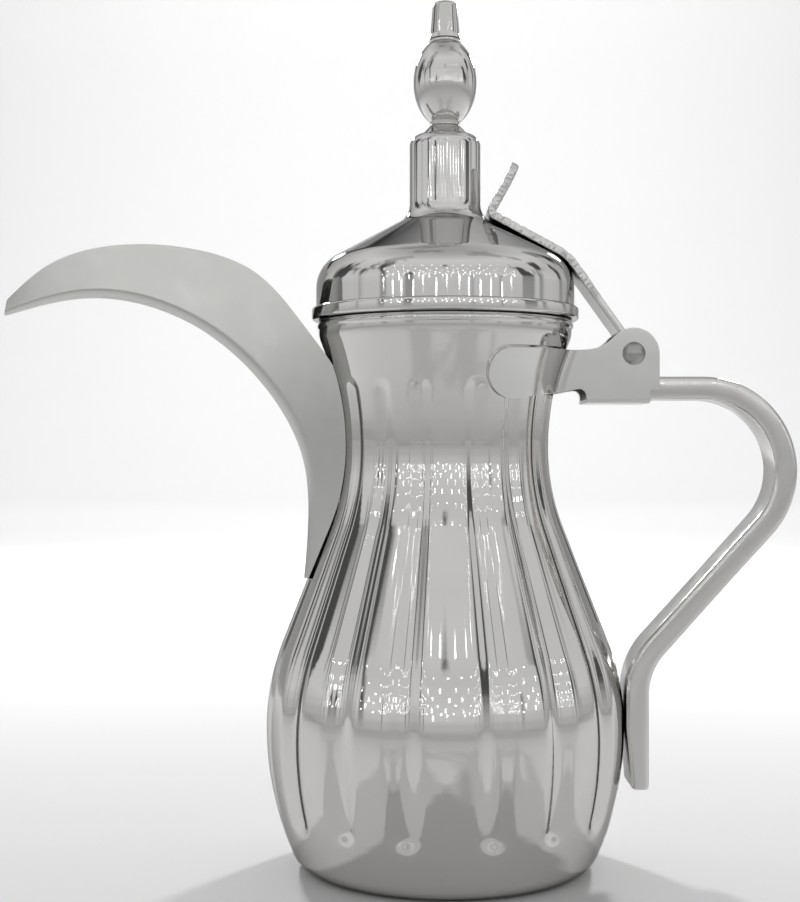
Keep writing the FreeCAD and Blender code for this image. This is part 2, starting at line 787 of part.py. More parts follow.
def lid_lever():
    """Strap with a thumb tab, laid over the lid's slope and shoulder and rolled round the hinge rivet."""
    tab_lean = math.radians(lever_tab_angle)
    hinge = side(hinge_reach, hinge_height)
    above_lid = CONE_OUT * (lever_lid_gap + LEVER_HALF)
    tab_base = side(lever_start_reach, cone_height(lever_start_reach)) + above_lid
    tab_tip = tab_base + side(math.cos(tab_lean), math.sin(tab_lean)) * lever_tab_length
    centre_reach = LID_WALL - lid_shoulder
    centre = side(centre_reach, cone_height(centre_reach) - lid_shoulder / math.cos(LID_CONE))
    bend = lid_shoulder + lever_lid_gap + LEVER_HALF
    toward = hinge - centre
    heading = math.atan2(toward.z, toward.x) - math.asin((bend - lever_above_rivet) / toward.Length)
    out = side(-math.sin(heading), math.cos(heading))
    leave = centre + (CONE_OUT + out) * (bend / (1 + CONE_OUT.dot(out)))
    corners = [tab_tip, tab_base, leave, hinge + out * lever_above_rivet]
    strap = across(strip_face(corners, [lever_tab_bend, bend], [1, -1], lever_thickness), lever_width)
    tab_edges = [edge for edge in strap.Edges if edge.BoundBox.ZMin > tab_tip.z - lever_thickness
                 and edge.BoundBox.YLength < weld_gap]
    strap = strap.makeFillet(lever_corner, tab_edges)
    barrel_foot = hinge - ACROSS * (lever_width / 2)
    barrel = Part.makeCylinder(lever_barrel_radius, lever_width, barrel_foot, ACROSS)
    bore = Part.makeCylinder(rivet_radius + rivet_clearance, lever_width, barrel_foot, ACROSS)
    holes = [rivet_bore(place) for place in lever_rivet_places()]
    return strap.fuse(barrel).removeSplitter().cut([bore] + holes)


def lever_rivet_places():
    """Middle points, on the lid's outer slope, of the two rivets through strap and lid."""
    reaches = [lever_rivet_reach, lever_rivet_reach + lever_rivet_spacing * math.cos(LID_CONE)]
    return [side(reach, cone_height(reach)) for reach in reaches]


def rivet_bore(place):
    depth = lever_rivet_spacing
    return Part.makeCylinder(lever_rivet_radius + weld_gap, 2 * depth, place - CONE_OUT * depth, CONE_OUT)


def lever_rivets():
    """Two small rivets that fix the strap to the lid, domed above and below."""
    below = lid_sheet + lever_rivet_tail_gap
    grip = below + lever_lid_gap + lever_thickness + weld_gap
    feet = [place - CONE_OUT * below for place in lever_rivet_places()]
    head = (lever_rivet_head_radius, lever_rivet_head_rise)
    return Part.makeCompound([rivet(lever_rivet_radius, *head, grip, foot, CONE_OUT) for foot in feet])


BORE = stud_radius + weld_gap
COLLAR_LOW = TOWER_TOP + weld_gap
BEAD_LOW = COLLAR_LOW + collar_height
BEAD_HIGH = BEAD_LOW + 2 * bead_half_length
TIP_LOW = BEAD_HIGH + ring_height


def finial_collar():
    """Conical collar from the tower's flat top up to the bead, bored for the stud."""
    foot = side(tower_radius - tower_round, COLLAR_LOW)
    neck = side(collar_neck_radius, COLLAR_LOW + collar_neck_height)
    head = side(bead_end_radius, BEAD_LOW)
    return turned(closed_lines([foot, neck, head, side(BORE, BEAD_LOW), side(BORE, COLLAR_LOW)]))


def finial_bead():
    """Egg-shaped bead, bored for the stud."""
    reach = bead_half_length / math.sqrt(1 - (bead_end_radius / bead_radius) ** 2)
    middle = side(0, (BEAD_LOW + BEAD_HIGH) / 2)
    egg = Part.Ellipse(middle + AXIS * reach, middle + side(bead_radius, 0), middle)
    limit = math.asin(bead_end_radius / bead_radius)
    edge = Part.ArcOfEllipse(egg, limit, math.pi - limit).toShape()
    head, foot = edge.Vertexes[0].Point, edge.Vertexes[1].Point
    inner = [side(BORE, foot.z), side(BORE, head.z)]
    return turned([edge, line(foot, inner[0]), line(inner[0], inner[1]), line(inner[1], head)])


def finial_ring():
    """Ring with a half-round outside, bored for the stud."""
    inset = ring_height / 2
    foot, head = side(ring_radius - inset, BEAD_HIGH), side(ring_radius - inset, TIP_LOW)
    inner_head, inner_foot = side(BORE, TIP_LOW), side(BORE, BEAD_HIGH)
    outside = Part.Arc(foot, side(ring_radius, BEAD_HIGH + inset), head).toShape()
    return turned([outside, line(head, inner_head), line(inner_head, inner_foot), line(inner_foot, foot)])


def finial_tip():
    """Tapered tip with a flared foot and a rounded crown, with a blind bore for the stud."""
    top = TIP_LOW + tip_height
    flare = TIP_LOW + tip_flare_height
    foot, crown, middle = side(tip_base_radius, TIP_LOW), side(0, top), side(0, TIP_LOW)
    corners = [foot, side(tip_lower_radius, flare), side(tip_upper_radius, top), crown]
    outline = rounded_path(corners, [tip_flare_height / 2, tip_round])
    outline += [line(crown, middle), line(middle, foot)]
    bore_depth = stud_tip_engagement + weld_gap
    return turned(outline).cut(Part.makeCylinder(BORE, bore_depth, Vector(0, 0, TIP_LOW)))


WASHER_TOP = TOWER_TOP - lid_sheet - weld_gap
NUT_TOP = WASHER_TOP - washer_height


def finial_stud():
    """Stud that holds the finial's pieces down on the tower."""
    low = NUT_TOP - nut_height - wall
    return Part.makeCylinder(stud_radius, TIP_LOW + stud_tip_engagement - low, Vector(0, 0, low))


def finial_nut():
    """Hexagon nut inside the tower."""
    corner = nut_across_flats / (2 * math.cos(math.pi / nut_sides))
    angles = [2 * math.pi * i / nut_sides for i in range(nut_sides)]
    low = NUT_TOP - nut_height
    points = [Vector(corner * math.cos(a), corner * math.sin(a), low) for a in angles]
    prism = Part.Face(Part.Wire(closed_lines(points))).extrude(AXIS * nut_height)
    return prism.cut(Part.makeCylinder(BORE, nut_height, Vector(0, 0, low)))


def main():
    os.makedirs("parts", exist_ok=True)
    front_half, back_half = spout_halves()
    pieces = {
        "body_shell": body_shell(),
        "base_disc": base_disc(),
        "spout_front_half": front_half,
        "spout_back_half": back_half,
        "hinge_bracket": hinge_bracket(),
        "hinge_rivet": hinge_rivet(),
        "handle": handle(),
        "lid_dome": lid_dome(),
        "lid_skirt": lid_skirt(),
        "lid_lever": lid_lever(),
        "lever_rivets": lever_rivets(),
        "finial_collar": finial_collar(),
        "finial_bead": finial_bead(),
        "finial_ring": finial_ring(),
        "finial_tip": finial_tip(),
        "finial_stud": finial_stud(),
        "finial_nut": finial_nut(),
        "finial_washer": tube(washer_radius, BORE, NUT_TOP, WASHER_TOP),
    }
    for name, shape in pieces.items():
        if len(shape.Solids) == 1:
            shape = shape.Solids[0]
        shape.exportStep(f"parts/{name}.step")
        box = shape.BoundBox
        print(f"{name}: valid {shape.isValid()}, solids {len(shape.Solids)}, volume {shape.Volume:.1f},",
              f"x {box.XMin:.1f} to {box.XMax:.1f}, y {box.YMin:.1f} to {box.YMax:.1f},",
              f"z {box.ZMin:.1f} to {box.ZMax:.1f}")


main()
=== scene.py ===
"""Looks of the polished dallah coffee pot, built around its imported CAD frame.

Sizes are in millimetres in the row frame and become metres when a mesh is made. The mirror-finished
shells are fine meshes worked out from the same arcs as the solids, so that reflections run smoothly.
"""
import math
import bpy
import numpy as np
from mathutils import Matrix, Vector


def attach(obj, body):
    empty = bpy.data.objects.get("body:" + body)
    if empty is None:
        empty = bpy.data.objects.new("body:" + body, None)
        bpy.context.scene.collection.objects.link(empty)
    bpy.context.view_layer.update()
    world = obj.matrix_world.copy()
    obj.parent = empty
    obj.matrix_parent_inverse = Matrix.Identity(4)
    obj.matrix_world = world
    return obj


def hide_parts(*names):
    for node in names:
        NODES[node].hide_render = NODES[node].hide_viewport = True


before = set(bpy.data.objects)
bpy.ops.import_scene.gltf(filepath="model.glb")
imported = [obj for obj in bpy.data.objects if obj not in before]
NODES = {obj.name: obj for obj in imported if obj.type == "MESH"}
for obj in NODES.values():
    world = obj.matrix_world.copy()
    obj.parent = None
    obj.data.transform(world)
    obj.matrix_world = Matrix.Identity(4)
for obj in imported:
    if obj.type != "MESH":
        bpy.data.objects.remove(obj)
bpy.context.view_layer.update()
MM = 0.001

# Pot body
BELLY_RADIUS, BELLY_HEIGHT = 59.2, 46.0
BELLY_LOWER_ARC, BELLY_ARC_SHARE, FLANK_STEEPNESS = 102.0, 0.52, math.radians(6.27)
WAIST_RADIUS, WAIST_HEIGHT = 34.2, 138.0
MOUTH_RADIUS, MOUTH_BEND, MOUTH_COLLAR, RIM_HEIGHT = 42.0, 8.0, 3.3, 179.8
FOOT_CORNER, FOOT_RING, WALL = 9.0, 4.5, 1.0
RIM_BEAD_HEIGHT, RIM_BEAD_RISE = 2.9, 0.5
FLUTES_PER_QUARTER, FIRST_FLUTE, FLUTE_PITCH = 4, 14.0, 21.5
FLUTE_HALF = math.radians(6.8)
FLUTE_DEPTH, FLUTE_LOW_END, FLUTE_HIGH_END = 2.1, 15.0, 160.7
POUR_WIDTH, POUR_LOW, POUR_HIGH = 12.0, 140.0, 166.0

# Spout
SPOUT_KEEL = [(-146.6, 182.2), (-119.0, 188.3), (-88.3, 181.4), (-61.7, 160.8)]
SPOUT_NECK = [(12.2, 133.0), (6.6, 113.0), (-1.5, 86.0)]
SPOUT_LIP = [(-145.6, 187.3), (-131.5, 198.6), (-107.0, 205.0), (-84.0, 203.6),
             (-63.0, 196.0), (-46.0, 177.6)]
SPOUT_TIP_HALF, SPOUT_ROOT_HALF, SPOUT_FOOT_HALF, SPOUT_WIDEST = 1.9, 10.6, 7.0, 0.62
SPOUT_TIP_FOLD, SPOUT_ROOT_FOLD, SPOUT_SHEET = 1.5, 3.5, 1.0

# Handle
HANDLE_WIDTH, HANDLE_THICKNESS, HANDLE_REACH = 18.0, 7.5, 115.4
HANDLE_BEND, HANDLE_LOWER_BEND, HANDLE_SLOPE = 27.2, 23.7, math.radians(48.0)
HANDLE_END, HANDLE_TAPER, HANDLE_ROUND, HANDLE_INNER_END = 25.8, 1.7, 1.6, 49.0
FLOOR_TOP, WELD_GAP = 154.0, 0.05

# Lid
LID_BASE, LID_SHEET = RIM_HEIGHT + 0.5, 0.9
LID_BAND, LID_BAND_HEIGHT, LID_BAND_STEP, LID_BAND_ROUND = MOUTH_RADIUS + 2.3, 4.3, 1.4, 1.0
LID_WALL = LID_BAND - LID_BAND_STEP
LID_CONE, LID_CONE_LOW, LID_SHOULDER = math.radians(28.5), 17.9, 12.0
TOWER_RADIUS, TOWER_FOOT, TOWER_ROUND = 11.8, 7.0, 4.0
TOWER_TOP = LID_BASE + 62.0
STUD_BORE = 2.45

# Lever and hinge
HINGE = (61.4, 169.0)
LEVER_WIDTH, LEVER_THICKNESS, LEVER_GAP, LEVER_ROUND = 17.0, 2.4, 0.1, 0.45
LEVER_TAB_LENGTH, LEVER_TAB_ANGLE, LEVER_TAB_BEND, LEVER_START = 19.0, math.radians(61.5), 2.2, 13.6
LEVER_BARREL, LEVER_CORNER, LEVER_BORE, LEVER_ABOVE_RIVET = 4.2, 4.0, 2.28, 1.4
PEBBLE_SPACING, PEBBLE_RISE, PEBBLE_END = 1.5, 0.35, 50.0
PEBBLE_SHIFT, PEBBLE_SHARE, PEBBLE_FADE, PEBBLE_TIP_FADE = 0.32, 0.62, 3.0, 2.0

# Finial
COLLAR_NECK, COLLAR_NECK_HEIGHT, COLLAR_HEIGHT = 4.7, 3.2, 4.3
BEAD_RADIUS, BEAD_HALF, BEAD_END = 10.5, 13.1, 5.0
RING_RADIUS, RING_HEIGHT = 5.3, 1.3
TIP_BASE, TIP_FLARE, TIP_LOWER, TIP_UPPER, TIP_HEIGHT, TIP_ROUND = 5.5, 1.6, 4.9, 4.0, 12.4, 1.7

# Fineness of the meshes
PROFILE_STEP, FLUTE_COLUMNS, RIB_COLUMNS, TURN_STEPS = 0.7, 25, 8, 288
SPOUT_STATIONS, SPOUT_COLUMNS, SPOUT_SAMPLES, SPLINE_SAMPLES = 150, 60, 240, 2000
HANDLE_STEP, LID_STEP, LEVER_STEP, EGG_STEPS, BARREL_STEPS = 1.5, 2.0, 0.4, 90, 96

# Metal: tone, gloss, waves, rubs and pits are noises, each with its scale and detail.
# Their depths are in metres.
NOISE_LOW, NOISE_HIGH, TONE_FALL, EDGE_TINT = 0.3, 0.7, 0.97, 0.4
TONE_NOISE, GLOSS_NOISE = (55.0, 3.0), (160.0, 4.0)
WAVE_NOISE, WAVE_DEPTH = (70.0, 1.0), 0.0004
RUB_NOISE, RUB_DEPTH = (1600.0, 3.0), 0.00003
PIT_NOISE, PIT_DEPTH = (900.0, 2.0), 0.0001
BEVEL_SAMPLES = 8
SPUN, NO_GRAIN = (0.04, 0.04, 1.0), (1.0, 1.0, 1.0)

# Floor sweep
FLOOR_HALF, FLOOR_BEND, BACKDROP_HEIGHT = 5000.0, 1500.0, 2300.0
PAPER, PAPER_FALL, PAPER_ROUGHNESS, PAPER_GRAIN = (0.64, 0.64, 0.64), 0.98, 0.8, 3.0

# Lamps, in metres and watts: place, aim, size and power
POT_MIDDLE = (0.0, 0.0, 0.13)
FLOOR_PANEL = ((0.0, 1.5, 1.0), (0.0, 2.2, 0.0), (1.4, 0.8), 9.0)
BACKDROP_PANEL = ((0.0, 2.6, 2.6), (0.0, 4.6, 0.6), (4.0, 1.0), 95.0)
LEFT_RIM = ((-0.50, 1.30, 0.85), POT_MIDDLE, (0.13, 0.13), 13.0)
RIGHT_RIM = ((0.56, 1.28, 0.8), POT_MIDDLE, (0.13, 0.13), 13.0)
SMALL_LAMP_SIZE, SMALL_LAMP_POWER, SMALL_LAMP_DISTANCE = (0.035, 0.035), 0.06, 4.0
SMALL_LAMP_RISES = (9.0, 10.5, 12.0, 14.0, 17.0, 21.0, 27.0, 36.0)
SMALL_LAMP_COLUMNS, SMALL_LAMP_PITCH, SMALL_LAMP_SHIFTS = 13, 9.5, (1.5, 0.5)

# Surroundings: stops of share of the way from nadir to zenith, or of noise, and level
SKY_STOPS = [(0.0, 0.30), (0.5, 0.44), (0.58, 0.66), (0.72, 0.60), (0.88, 0.70), (1.0, 0.40)]
BAND_STOPS = [(0.40, 0.12), (0.47, 1.0)]
BAND_FADE = [(0.5, 0.0), (0.60, 1.0), (0.78, 1.0), (0.90, 0.35)]
BAND_NOISE, BAND_TURN, BAND_STRETCH = (3.2, 2.0), math.radians(45.0), (1.0, 1.0, 0.25)

# Camera, in metres; lens and sensor in millimetres
CAMERA_PLACE, CAMERA_LENS, CAMERA_SENSOR, CAMERA_NEAR = (-0.015, -0.5133, 0.1371), 61.46, 36.0, 0.01


def mesh_object(name, points, faces, sharp_angle=35.0):
    """A smooth-shaded mesh object from points in millimetres."""
    mesh = bpy.data.meshes.new(name)
    mesh.from_pydata((np.asarray(points) * MM).tolist(), [], faces)
    mesh.validate()
    mesh.shade_smooth()
    mesh.set_sharp_from_angle(angle=math.radians(sharp_angle))
    thing = bpy.data.objects.new(name, mesh)
    bpy.context.collection.objects.link(thing)
    return thing


def grid_faces(rows, columns, start=0, wrap_columns=False, flip=False):
    """Quads over a grid of points stored row by row."""
    faces = []
    span = columns if wrap_columns else columns - 1
    for i in range(rows - 1):
        for j in range(span):
            k = (j + 1) % columns
            quad = [start + i * columns + j, start + i * columns + k]
            quad += [start + (i + 1) * columns + k, start + (i + 1) * columns + j]
            faces.append(quad[::-1] if flip else quad)
    return faces


def arc(centre, radius, start, end, step=2.0):
    """Points on an arc between two angles in radians, no more than step degrees apart."""
    count = max(2, math.ceil(abs(math.degrees(end - start)) / step))
    angles = np.linspace(start, end, count + 1)
    return np.column_stack([centre[0] + radius * np.cos(angles), centre[1] + radius * np.sin(angles)])


def rounded(corners, radii, spacing=4.0):
    """Side-view polyline with its inner corners rounded, and straight runs divided to a spacing."""
    corners = [np.array(corner, float) for corner in corners]
    runs = []
    here = corners[0]
    for before, corner, after, radius in zip(corners, corners[1:], corners[2:], radii):
        toward = (before - corner) / np.linalg.norm(before - corner)
        away = (after - corner) / np.linalg.norm(after - corner)
        half = math.acos(np.clip(toward @ away, -1, 1)) / 2
        start = corner + toward * radius / math.tan(half)
        bisector = (toward + away) / np.linalg.norm(toward + away)
        centre = corner + bisector * radius / math.sin(half)
        end = corner + away * radius / math.tan(half)
        low = math.atan2(*(start - centre)[::-1])
        turn = math.atan2(*(end - centre)[::-1]) - low
        turn = (turn + math.pi) % (2 * math.pi) - math.pi
        runs += [straight(here, start, spacing), arc(centre, radius, low, low + turn)]
        here = end
    runs.append(straight(here, corners[-1], spacing))
    points = np.vstack(runs)
    keep = np.r_[True, np.linalg.norm(np.diff(points, axis=0), axis=1) > 1e-4]
    return points[keep]


def straight(start, end, spacing):
    """Points on a straight run, no more than a spacing apart."""
    count = max(1, math.ceil(np.linalg.norm(np.subtract(end, start)) / spacing))
    return np.linspace(start, end, count + 1)


def lengths_along(points):
    """Length along a polyline at each of its points."""
    return np.r_[0.0, np.cumsum(np.linalg.norm(np.diff(points, axis=0), axis=1))]


def resample(points, lengths):
    """Points of a polyline at given lengths along it."""
    along = lengths_along(points)
    return np.column_stack([np.interp(lengths, along, points[:, i]) for i in range(points.shape[1])])


def turned(name, profile, closed=True, steps=TURN_STEPS):
    """Mesh of a side-view profile turned about the pot's axis; a point on the axis becomes a pole."""
    points, rings = [], []
    for radius, height in profile:
        if radius < 1e-6:
            rings.append([len(points)])
            points.append((0.0, 0.0, height))
            continue
        rings.append(list(range(len(points), len(points) + steps)))
        for i in range(steps):
            angle = 2 * math.pi * i / steps
            points.append((radius * math.cos(angle), radius * math.sin(angle), height))
    faces = []
    pairs = list(zip(rings, rings[1:])) + ([(rings[-1], rings[0])] if closed else [])
    for low, high in pairs:
        for i in range(steps):
            k = (i + 1) % steps
            face = [low[i % len(low)], low[k % len(low)], high[k % len(high)], high[i % len(high)]]
            face = list(dict.fromkeys(face))
            if len(face) > 2:
                faces.append(face)
    return mesh_object(name, points, faces)


def body_profile():
    """Outer profile of the pot from the base disc to the rim, as (radius, height) points."""
    lower = (BELLY_RADIUS - BELLY_LOWER_ARC, BELLY_HEIGHT)
    foot_reach = math.sqrt((BELLY_LOWER_ARC - FOOT_CORNER) ** 2 - (BELLY_HEIGHT - FOOT_CORNER) ** 2)
    foot = (lower[0] + foot_reach, FOOT_CORNER)
    foot_angle = math.atan2(foot[1] - lower[1], foot[0] - lower[0])
    fall, rise = BELLY_RADIUS - WAIST_RADIUS, WAIST_HEIGHT - BELLY_HEIGHT
    lean = math.atan2(fall, rise) + FLANK_STEEPNESS
    both_arcs = math.hypot(fall, rise) * math.sin(FLANK_STEEPNESS) / (1 - math.cos(lean))
    belly_arc = both_arcs * BELLY_ARC_SHARE
    neck_arc = both_arcs - belly_arc
    bend = (MOUTH_RADIUS - MOUTH_BEND, RIM_HEIGHT - MOUTH_COLLAR)
    across, flare_rise = WAIST_RADIUS - bend[0], bend[1] - WAIST_HEIGHT
    flare_arc = (flare_rise ** 2 + across ** 2 - MOUTH_BEND ** 2) / (2 * (MOUTH_BEND - across))
    flare = (WAIST_RADIUS + flare_arc, WAIST_HEIGHT)
    flare_angle = math.atan2(bend[1] - flare[1], bend[0] - flare[0])
    points = np.vstack([
        [(foot[0] - FOOT_RING, 0.0)],
        arc(foot, FOOT_CORNER, -math.pi / 2, foot_angle),
        arc(lower, BELLY_LOWER_ARC, foot_angle, 0.0),
        arc((BELLY_RADIUS - belly_arc, BELLY_HEIGHT), belly_arc, 0.0, lean),
        arc((WAIST_RADIUS + neck_arc, WAIST_HEIGHT), neck_arc, lean + math.pi, math.pi),
        arc(flare, flare_arc, math.pi, flare_angle),
        arc(bend, MOUTH_BEND, flare_angle - math.pi, 0.0),
        [(MOUTH_RADIUS, RIM_HEIGHT)],
    ])
    keep = np.r_[True, np.linalg.norm(np.diff(points, axis=0), axis=1) > 1e-6]
    points = points[keep]
    total = lengths_along(points)[-1]
    return resample(points, np.linspace(0, total, math.ceil(total / PROFILE_STEP)))


PROFILE = body_profile()
PROFILE_ALONG = lengths_along(PROFILE)
RISING = PROFILE[:, 1] > FOOT_CORNER / 4


def body_radius(height):
    """Radius of the body's outer profile at a height, between the flutes."""
    return np.interp(height, PROFILE[RISING, 1], PROFILE[RISING, 0])


FLUTE_START = np.interp(FLUTE_LOW_END, PROFILE[RISING, 1], PROFILE_ALONG[RISING])
FLUTE_STOP = np.interp(FLUTE_HIGH_END, PROFILE[RISING, 1], PROFILE_ALONG[RISING])
FLUTE_LOW_ROUND = body_radius(FLUTE_LOW_END) * FLUTE_HALF
FLUTE_HIGH_ROUND = body_radius(FLUTE_HIGH_END) * FLUTE_HALF


def flute_centres():
    """Angles of the flutes' middle lines, the same on both sides of spout and handle."""
    quarter = [FIRST_FLUTE + FLUTE_PITCH * i for i in range(FLUTES_PER_QUARTER)]
    half = quarter + [180.0 - angle for angle in reversed(quarter)]
    return np.radians(half + [360.0 - angle for angle in reversed(half)])


def flute_sink(turn, along, radius):
    """Depth of a flute at an angle from its middle and a length along the profile."""
    low = (FLUTE_START + FLUTE_LOW_ROUND - along) / FLUTE_LOW_ROUND
    high = (along - FLUTE_STOP + FLUTE_HIGH_ROUND) / FLUTE_HIGH_ROUND
    share = np.hypot(turn / FLUTE_HALF, np.maximum(0.0, np.maximum(low, high)))
    return FLUTE_DEPTH * radius / BELLY_RADIUS * (1 + np.cos(np.pi * np.minimum(share, 1.0))) / 2


def body_columns():
    """Angles round the body, closer together inside the flutes, with the turn from the nearest flute."""
    centres = flute_centres()
    angles, turns = [], []
    for i, centre in enumerate(centres):
        following = centres[(i + 1) % len(centres)] + (2 * math.pi if i + 1 == len(centres) else 0)
        inside = np.linspace(-FLUTE_HALF, FLUTE_HALF, FLUTE_COLUMNS)
        angles += list(centre + inside)
        turns += list(inside)
        rib = np.linspace(centre + FLUTE_HALF, following - FLUTE_HALF, RIB_COLUMNS)[1:-1]
        angles += list(rib)
        turns += [FLUTE_HALF] * len(rib)
    return np.array(angles), np.array(turns)


def body_skin(offset, step):
    """Grid of points on the fluted surface, moved outward by an offset."""
    angles, turns = body_columns()
    tangent = np.gradient(PROFILE, PROFILE_ALONG, axis=0)
    tangent /= np.linalg.norm(tangent, axis=1)[:, None]
    rows = np.r_[np.arange(0, len(PROFILE) - 1, step), len(PROFILE) - 1]
    points = []
    for i in rows:
        radius, height = PROFILE[i]
        shift = offset - flute_sink(turns, PROFILE_ALONG[i], radius)
        reach = radius + shift * tangent[i, 1]
        points.append(np.column_stack([reach * np.sin(angles), -reach * np.cos(angles),
                                       height - shift * tangent[i, 0]]))
    return np.array(points)


def body_mesh():
    """Fluted shell with its inside, its rim and the pour opening behind the spout."""
    outer, inner = body_skin(0.0, 1), body_skin(-WALL, 2)
    rows, columns = outer.shape[:2]
    inner_rows = inner.shape[0]
    points = np.vstack([outer.reshape(-1, 3), inner.reshape(-1, 3)])
    start = rows * columns
    faces = grid_faces(rows, columns, 0, True) + grid_faces(inner_rows, columns, start, True, True)
    foot = (0, start, True)
    rim = ((rows - 1) * columns, start + (inner_rows - 1) * columns, False)
    for low, high, flip in (foot, rim):
        for j in range(columns):
            k = (j + 1) % columns
            face = [low + j, low + k, high + k, high + j]
            faces.append(face[::-1] if flip else face)
    body = mesh_object("fluted_body", points, faces)
    cut_pour_opening(body)
    return body


def cut_pour_opening(body):
    """Cuts the round-ended slot through the neck wall with a prism."""
    half = POUR_WIDTH / 2
    outline = np.vstack([
        arc((0, POUR_HIGH - half), half, 0, math.pi, 6),
        arc((0, POUR_LOW + half), half, math.pi, 2 * math.pi, 6),
    ])
    count = len(outline)
    points = [(x, y, z) for x in (-MOUTH_RADIUS * 2, -WAIST_RADIUS / 2) for y, z in outline]
    faces = grid_faces(2, count, 0, True, True)
    faces += [list(range(count)), list(range(2 * count - 1, count - 1, -1))]
    cutter = mesh_object("slot_cutter", points, faces)
    tool = body.modifiers.new("slot", "BOOLEAN")
    tool.object = cutter
    tool.operation = "DIFFERENCE"
    tool.solver = "EXACT"
    graph = bpy.context.evaluated_depsgraph_get()
    cut = bpy.data.meshes.new_from_object(body.evaluated_get(graph))
    body.modifiers.clear()
    body.data = cut
    bpy.data.objects.remove(cutter)


def rim_bead():
    """Half-round bead round the mouth of the pot."""
    low, inner = RIM_HEIGHT - RIM_BEAD_HEIGHT, MOUTH_RADIUS - WALL / 2
    bulge, half = WALL / 2 + RIM_BEAD_RISE, RIM_BEAD_HEIGHT / 2
    radius = (bulge ** 2 + half ** 2) / (2 * bulge)
    centre = (inner + bulge - radius, low + half)
    sweep = math.asin(half / radius)
    return turned("rim_bead", arc(centre, radius, -sweep, sweep, 6), True)


def spline(points, count):
    """Smooth curve through side-view points, sampled at equal lengths."""
    points = np.array(points, float)
    knots = lengths_along(points)
    size = len(points)
    gaps = np.diff(knots)
    system = np.zeros((size, size))
    right = np.zeros((size, 2))
    system[0, 0] = system[-1, -1] = 1.0
    for i in range(1, size - 1):
        system[i, i - 1:i + 2] = gaps[i - 1], 2 * (gaps[i - 1] + gaps[i]), gaps[i]
        right[i] = 6 * ((points[i + 1] - points[i]) / gaps[i] - (points[i] - points[i - 1]) / gaps[i - 1])
    bend = np.linalg.solve(system, right)
    spots = np.linspace(0, knots[-1], SPLINE_SAMPLES)
    cell = np.clip(np.searchsorted(knots, spots) - 1, 0, size - 2)
    gap = gaps[cell][:, None]
    ahead = (knots[cell + 1] - spots)[:, None] / gap
    behind = 1 - ahead
    curve = ahead * points[cell] + behind * points[cell + 1]
    curve += ((ahead ** 3 - ahead) * bend[cell] + (behind ** 3 - behind) * bend[cell + 1]) * gap ** 2 / 6
    return resample(curve, np.linspace(0, lengths_along(curve)[-1], count))


def spout_half_width(share):
    """Half width of the spout at a share of its length from the tip."""
    if share < SPOUT_WIDEST:
        swell = math.sin(math.pi / 2 * share / SPOUT_WIDEST)
        return SPOUT_TIP_HALF + (SPOUT_ROOT_HALF - SPOUT_TIP_HALF) * swell
    fall = math.cos(math.pi / 2 * (share - SPOUT_WIDEST) / (1 - SPOUT_WIDEST))
    return SPOUT_FOOT_HALF + (SPOUT_ROOT_HALF - SPOUT_FOOT_HALF) * fall


def spout_wall(keel, lip, share, inset, columns):
    """One side of a spout section from keel to lip, stopped where it meets the body."""
    up = lip - keel
    depth = np.linalg.norm(up) - inset
    up = up / np.linalg.norm(up)
    half = spout_half_width(share)
    swell = (half - SPOUT_TIP_HALF) / (SPOUT_ROOT_HALF - SPOUT_TIP_HALF)
    fold = SPOUT_TIP_FOLD + (SPOUT_ROOT_FOLD - SPOUT_TIP_FOLD) * swell - inset
    reach = half - inset
    outline = np.vstack([
        [(0.0, depth)],
        arc((reach - fold, depth - fold), fold, math.pi / 2, 0.0, 5),
        [(reach, 0.0)],
    ])
    spots = np.linspace(0, lengths_along(outline)[-1], SPOUT_SAMPLES)
    across, drop = resample(outline, spots).T
    points = np.column_stack([lip[0] - up[0] * drop, across, lip[1] - up[1] * drop])
    outside = np.hypot(points[:, 0], points[:, 1]) - body_radius(points[:, 2]) - WELD_GAP
    outside[points[:, 2] > RIM_HEIGHT] = 1.0
    inner = np.flatnonzero(outside < 0)
    along = lengths_along(points)
    stop = along[-1]
    if len(inner):
        first = inner[0]
        if first == 0:
            return None
        stop = np.interp(0.0, [-outside[first - 1], -outside[first]], [along[first - 1], along[first]])
    return resample(points, np.linspace(0, stop, columns))


